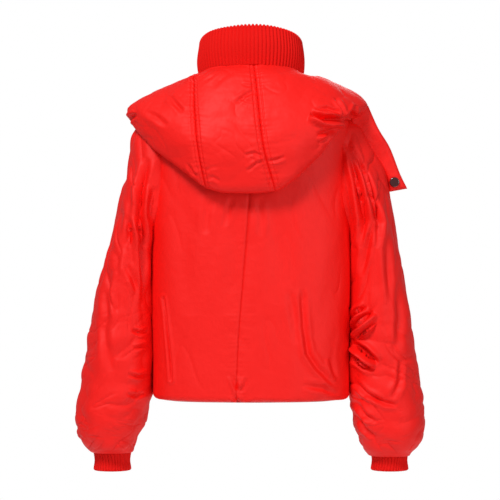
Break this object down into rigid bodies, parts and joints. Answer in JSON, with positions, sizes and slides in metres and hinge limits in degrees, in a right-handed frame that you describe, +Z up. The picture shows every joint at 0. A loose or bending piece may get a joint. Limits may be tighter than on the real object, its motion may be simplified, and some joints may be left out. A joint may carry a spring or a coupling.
{
  "type": "padded ski jacket",
  "caption": "Cropped padded ski jacket with a ribbed knit collar and cuffs, balloon sleeves, a front zip and a padded hood folded down on the back.",
  "frame": {"origin": "centre of the neck opening, on the seam where the collar is sewn on", "axes": "+Z up along the jacket's length, +Y out of the back, -Y out of the front, +X towards the wearer's left"},
  "size_m": [0.636, 0.27, 0.806],
  "materials": {
    "shell_fabric": "satin",
    "padding": "matt",
    "lining_fabric": "satin",
    "rib_knit": "matt",
    "zip_tape": "matt",
    "zip_teeth": "moulded",
    "zip_metal": "gloss",
    "snap_enamel": "gloss",
    "label_fabric": "woven"
  },
  "bodies": {
    "root": {"back_panel_left": "shell_fabric", "front_panel_left": "shell_fabric", "back_padding_left": "padding", "front_padding_left": "padding", "front_lining_left": "lining_fabric", "zip_tape_left": "zip_tape", "zip_teeth_left": "zip_teeth", "pocket_mouth_left": "shell_fabric", "pocket_bag_left": "lining_fabric", "upper_sleeve_shell_left": "shell_fabric", "upper_sleeve_padding_left": "padding", "upper_sleeve_lining_left": "lining_fabric", "back_panel_right": "shell_fabric", "front_panel_right": "shell_fabric", "back_padding_right": "padding", "front_padding_right": "padding", "front_lining_right": "lining_fabric", "zip_tape_right": "zip_tape", "zip_teeth_right": "zip_teeth", "pocket_mouth_right": "shell_fabric", "pocket_bag_right": "lining_fabric", "upper_sleeve_shell_right": "shell_fabric", "upper_sleeve_padding_right": "padding", "upper_sleeve_lining_right": "lining_fabric", "back_lining": "lining_fabric", "knit_collar": "rib_knit", "collar_padding": "padding", "zip_box": "zip_teeth", "zip_stops": "zip_teeth", "wind_guard": "lining_fabric", "neck_label": "label_fabric", "hang_loop": "label_fabric", "hood_snap_studs": "snap_enamel"},
    "sleeve_left": {"lower_sleeve_shell_left": "shell_fabric", "lower_sleeve_padding_left": "padding", "lower_sleeve_lining_left": "lining_fabric", "knit_cuff_left": "rib_knit"},
    "sleeve_right": {"lower_sleeve_shell_right": "shell_fabric", "lower_sleeve_padding_right": "padding", "lower_sleeve_lining_right": "lining_fabric", "knit_cuff_right": "rib_knit"},
    "zip_slider": {"zip_slider": "zip_metal"},
    "zip_pull": {"zip_pull": "zip_metal"},
    "hood": {"hood_centre_panel": "shell_fabric", "hood_side_panel_left": "shell_fabric", "hood_side_panel_right": "shell_fabric", "hood_padding": "padding", "hood_lining": "lining_fabric", "hood_inner_padding": "padding", "hood_neck_band": "shell_fabric", "hood_snap_sockets": "snap_enamel"},
    "hood_flap_left": {"hood_flap_left": "shell_fabric", "flap_snap_stud": "snap_enamel"},
    "hood_flap_right": {"hood_flap_right": "shell_fabric", "flap_snap_cap": "snap_enamel"}
  },
  "joints": [
    {"name": "elbow_left", "type": "hinge", "parent": "root", "child": "sleeve_left", "pos_m": [0.235, -0.084, -0.4], "axis": [-1, 0, 0], "range_deg": [0, 70]},
    {"name": "elbow_right", "type": "hinge", "parent": "root", "child": "sleeve_right", "pos_m": [-0.235, -0.084, -0.4], "axis": [-1, 0, 0], "range_deg": [0, 70]},
    {"name": "zip_slide", "type": "slide", "parent": "root", "child": "zip_slider", "axis": [0, -0.0547, -0.9985], "range_m": [0, 0.5874]},
    {"name": "zip_pull_hinge", "type": "hinge", "parent": "zip_slider", "child": "zip_pull", "pos_m": [0, -0.07459, 0.03273], "axis": [-1, 0, 0], "range_deg": [0, 180]},
    {"name": "hood_lift", "type": "slide", "parent": "root", "child": "hood", "axis": [0, 0, 1], "range_m": [0, 0.3]},
    {"name": "flap_left_hinge", "type": "hinge", "parent": "hood", "child": "hood_flap_left", "pos_m": [0.15, -0.101, -0.094], "axis": [-1, 0, 0], "range_deg": [0, 70]},
    {"name": "flap_right_hinge", "type": "hinge", "parent": "hood", "child": "hood_flap_right", "pos_m": [-0.222, 0, -0.062], "axis": [0, 1, 0], "range_deg": [0, 70]}
  ]
}
